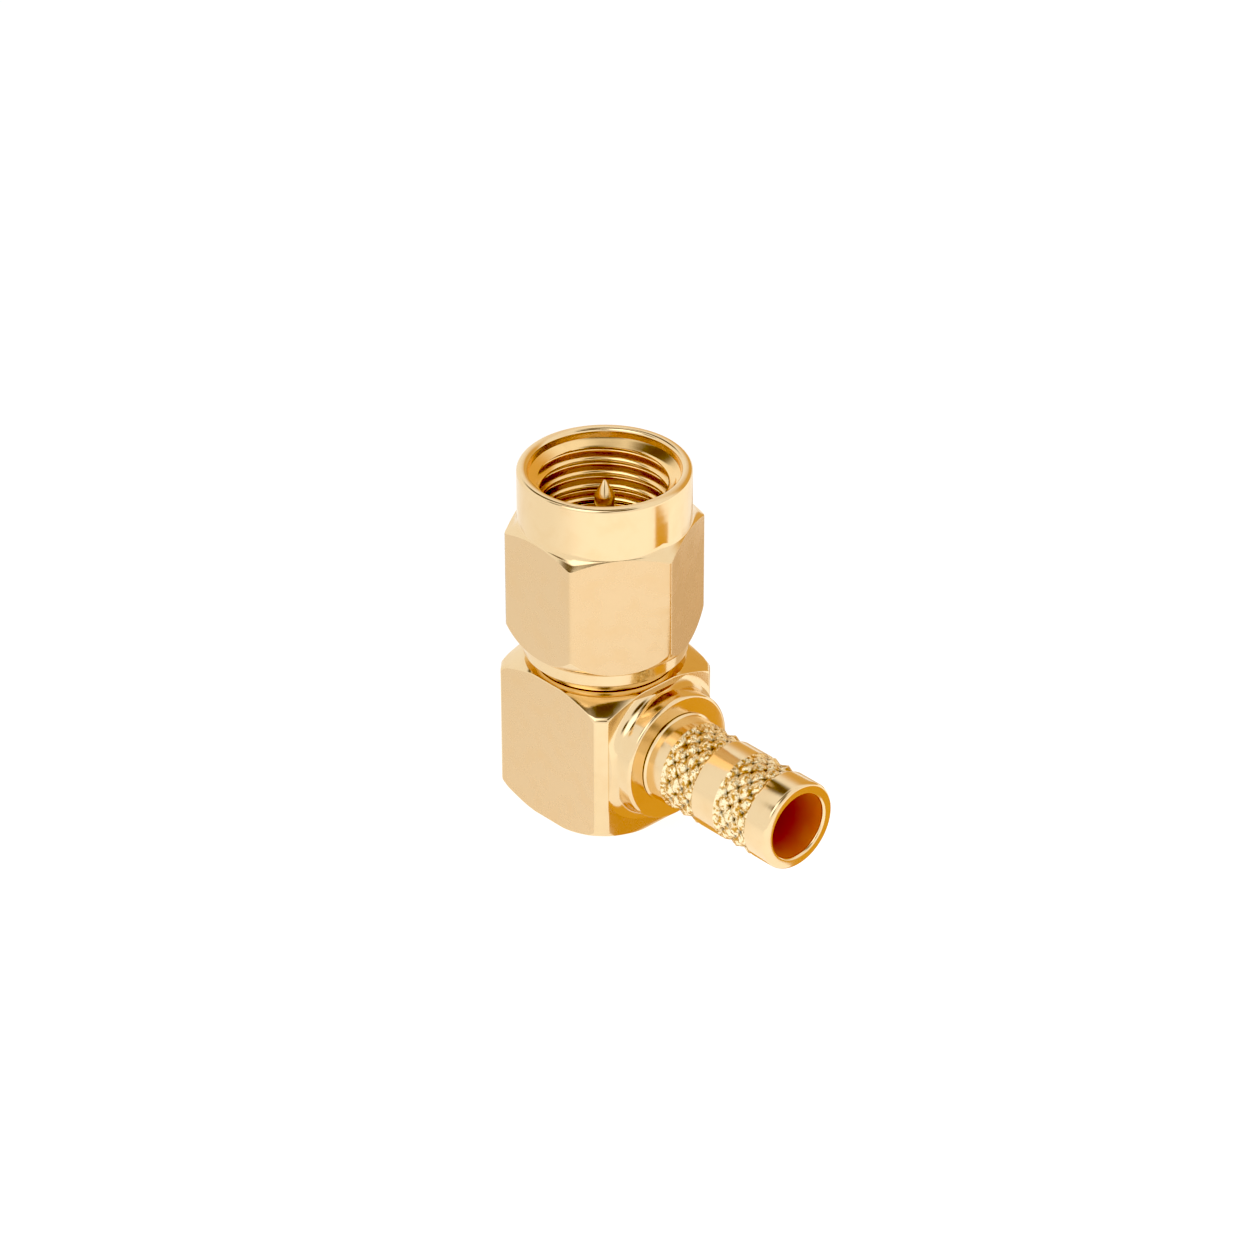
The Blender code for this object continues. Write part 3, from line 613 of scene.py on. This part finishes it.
flat_corners = NUT_TURN + np.arange(6) * np.pi / 3
angles = crowded(flat_corners, half_width=0.13, few=216, many=13)
hexagon = bar_radius(angles, sides=6, apothem=NUT_APOTHEM, turn=NUT_TURN + math.pi / 6,
                     sharpness=110)
shoulder = NECK_BOTTOM - (hexagon - NECK) * SHOULDER_SLOPE
taper_run = (hexagon - COLLAR)[:, None] * np.linspace(0, 1, TAPER_STEPS + 1)
taper_rise = taper_run * (TAPER_FOOT + TAPER_GAIN * taper_run / TAPER_RUN)
taper = [(COLLAR + taper_run[:, i], COLLAR_TOP + taper_rise[:, i], 0)
         for i in range(1, TAPER_STEPS)]
outside = rounded(np.stack([at_every(angles, *corner) for corner in (
    (BORE, NUT_BOTTOM, 0), (COLLAR, NUT_BOTTOM, 0.10 * MM), (COLLAR, COLLAR_TOP, SHARP), *taper,
    (hexagon, COLLAR_TOP + taper_rise[:, -1], EDGE), (hexagon, shoulder, 0.012 * MM),
    (NECK, NECK_BOTTOM, 1.2 * (hexagon - NECK)), (NECK, NUT_TOP, 0.20 * MM),
    (MOUTH, NUT_TOP, 0.18 * MM), (MOUTH, LEAD_IN[0][0], 0))], 1), steps=NUT_STEPS)[:, :-1]
heights = np.linspace(LEAD_IN[0][0], RELIEF_TOP, THREAD_ROWS)
thread = np.stack([thread_radius(angles, heights).T,
                   np.broadcast_to(heights, (len(angles), len(heights)))], -1)
inside = rounded([
    (MOUTH, RELIEF_TOP, 0), (RELIEF, RELIEF_TOP - 0.02 * MM, 0), (RELIEF, RELIEF_BOTTOM, EDGE),
    (BORE, RELIEF_BOTTOM, SHARP), (BORE, GROOVE_TOP, KEEN), (GROOVE_RADIUS, GROOVE_TOP, SHARP),
    (GROOVE_RADIUS, GROOVE_BOTTOM, SHARP), (BORE, GROOVE_BOTTOM, KEEN),
    (BORE, NUT_BOTTOM + 0.05 * MM, 0)], steps=4)[1:]
nut_profile = np.concatenate([outside, thread,
                              np.broadcast_to(inside, (len(angles), *inside.shape))], 1)
nut = skin("coupling_nut", spun(nut_profile, angles), True)
inner_gold = gold_plate("gold_plate_inside_the_nut", turned_about("Z"), 0.16, "F6D49C")
BRIGHT, SATIN, INNER = 0, 1, 2
flat_row = 1 + 2 * NUT_STEPS + len(taper) + NUT_STEPS - 1   # from the hexagon's lower edge up
finish = np.full((nut_profile.shape[1], len(angles)), BRIGHT, np.int32)
finish[flat_row] = SATIN
finish[outside.shape[1]:] = INNER
show("coupling_nut_plated", nut, [bright_gold, satin_gold, inner_gold], "nut", "coupling_nut")
nut.polygons.foreach_set("material_index", finish.ravel())

# Crimp stem. A thin tube pressed into the boss. Two bands are rolled with crossing V grooves that
# grip the cable's braid, and plain rings lie between and beyond them. The free end is rounded, and
# the bore takes the cable's dielectric. Its gold is painted red-brown: painted shade and painted
# reflected red for its depth.
STEM = 2.13 * MM
STEM_END = 12.72 * MM
STEM_SEAM = 9 * MM                           # where the outer and inner profiles are cut apart
STEM_SHANK, STEM_BOTTOM = 2.00 * MM, 2.60 * MM
STOP = 0.10 * MM                             # height of the ring that stops the stem at the boss
KNURL_STARTS = (5.95 * MM, 9.35 * MM)
KNURL_LENGTH = 2.05 * MM
KNURL_FADE = 0.16 * MM
HALF_DIAMONDS = 5                            # along a band
DIAMONDS = 13                                # round the stem
GROOVE_DEPTH = 0.20 * MM
BURR = 0.03 * MM                             # the rolls raise the crests by this
BAND_EDGE = 0.03 * MM                        # a plain row this far beyond each end of a band
ROWS_IN_HALF = 14                            # along half a diamond
COLUMNS = DIAMONDS * 24                      # round the stem


def knurled_radius(angles, along):
    """Radius of a rolled band. Two families of V grooves run round the stem, one to each hand; each
    is a triangular wave of the angle plus or minus the place along the band. The cut is 0.7 of the
    deeper groove, and the squared product of both makes a pit where they cross. Towards the ends
    of the band the rolls run out."""
    turns = angles * DIAMONDS / (2 * np.pi)
    steps = along[:, None] / KNURL_LENGTH * HALF_DIAMONDS / 2
    grooves = [np.clip(1 - np.abs((turns + hand * steps + 0.5) % 1 - 0.5) / 0.5, 0, 1)
               for hand in (1, -1)]
    cut = 0.7 * np.maximum(*grooves) + 0.5 * (grooves[0] * grooves[1]) ** 2
    to_end = np.minimum(along, KNURL_LENGTH - along)[:, None]
    return STEM + np.clip(to_end / KNURL_FADE, 0, 1) * (BURR - GROOVE_DEPTH * cut)


angles = ring_of(COLUMNS)
along = np.concatenate([[KNURL_LENGTH + BAND_EDGE],
                        np.linspace(KNURL_LENGTH, 0, HALF_DIAMONDS * ROWS_IN_HALF + 1),
                        [-BAND_EDGE]])
bands = [np.stack([knurled_radius(angles, along).T,
                   np.broadcast_to(start + along, (COLUMNS, len(along)))], -1)
         for start in reversed(KNURL_STARTS)]
end = rounded([(CABLE_BORE, STEM_SEAM, 0), (CABLE_BORE, STEM_END, 0.14 * MM),
               (STEM, STEM_END, 0.20 * MM), (STEM, STEM_SEAM, 0)], steps=8)[1:-1]
root = rounded([
    (STEM, STEM_SEAM, 0), (STEM, STEM_SHOULDER + 0.10 * MM, SHARP),
    (STEM + STOP, STEM_SHOULDER + 0.05 * MM, KEEN), (STEM + STOP, STEM_SHOULDER, 0.01 * MM),
    (STEM_SHANK, STEM_SHOULDER, 0.01 * MM), (STEM_SHANK, STEM_BOTTOM, EDGE),
    (CABLE_BORE, STEM_BOTTOM, EDGE), (CABLE_BORE, STEM_SEAM, 0)], steps=4)[1:-1]
stem_profile = np.concatenate([np.broadcast_to(end, (COLUMNS, *end.shape)), *bands,
                               np.broadcast_to(root, (COLUMNS, *root.shape))], 1)
stem = skin("crimp_stem", spun(stem_profile[:, ::-1], angles, "X"), True)
# Painted shade: the bore's gold is a darker, redder, less metallic copy of the plating. It stands
# in for the shade and for the red that gold takes by reflecting itself deep in the bore.
bore_gold_painted_shade = gold_plate("gold_plate_with_painted_bore_shade", turned_about("X"), 0.45, "E99256")
bore_gold_painted_shade.node_tree.nodes["Principled BSDF"].inputs["Metallic"].default_value = 0.35


def rolled(tree, place):
    """Torn ground of a rolled knurl: burrs about 0.05 mm across, drawn at 0.1 mm."""
    burrs = node(tree, "ShaderNodeTexNoise", {"Scale": 1 / (0.16 * MM), "Detail": 3.0},
                 Vector=place)
    return burrs.outputs[0], 0.09 * MM


# Painted glints: noise specks about 0.05 mm across, drawn at 0.1 mm, paint the crests pale in some
# specks and amber in others. The pits where grooves cross are painted dark brown by their depth, as
# painted shade.
knurled_gold = gold_plate("gold_plate_on_rolled_knurl", rolled, 0.13)
tree = knurled_gold.node_tree
place = object_place(tree)
radius, _ = about("X", tree, place)
# Painted shade: the deepest pits are coloured dark brown by their distance from the stem's axis.
painted_pit_shade = node(tree, "ShaderNodeMapRange", {1: STEM - 0.19 * MM, 2: STEM - 0.10 * MM, 3: 0.97,
                                          4: 0.0}, i0=radius)
# Painted glints: noise specks of pale and amber gold over the knurl.
specks = node(tree, "ShaderNodeTexNoise", {"Scale": 1 / (0.20 * MM), "Detail": 3.0}, Vector=place)
painted_glint_share = node(tree, "ShaderNodeMapRange", {1: 0.47, 2: 0.60}, i0=specks.outputs[0])
painted_glints = blend(tree, painted_glint_share.outputs[0], linear("FCEAC2"), linear("C8984A"))
tree.links.new(blend(tree, painted_pit_shade.outputs[0], painted_glints, linear("3A2408")),
               tree.nodes["Principled BSDF"].inputs["Base Color"])

show("crimp_stem_plated", stem, [bright_gold_stem, bore_gold_painted_shade, knurled_gold], "housing",
     "crimp_stem", crease=60)
centres = of_faces(stem, "center")
from_axis = np.hypot(centres[:, 1], centres[:, 2] - STEM_HEIGHT)
in_bore = (from_axis < CABLE_BORE + 0.005 * MM) & (centres[:, 0] < STEM_END - 0.2 * MM)
from_middle = np.abs(centres[:, :1] - np.array(KNURL_STARTS) - KNURL_LENGTH / 2)
in_band = (from_middle < KNURL_LENGTH / 2).any(1)
stem.polygons.foreach_set("material_index",
                          np.select([in_bore, in_band], [1, 2]).astype(np.int32))

# Access cap. A turned disc, plated like the block, that is pressed flush into the underside after
# the cable's core has been soldered.
CAP, CAP_TOP = 2.32 * MM, 0.80 * MM
cap = rounded([(0, 0, 0), (CAP, 0, 0.10 * MM), (CAP, CAP_TOP, SHARP), (0, CAP_TOP, 0)])
show("access_cap_plated", skin("access_cap", spun(cap, ring_of(128)), False), [bright_gold],
     "housing", "access_cap")
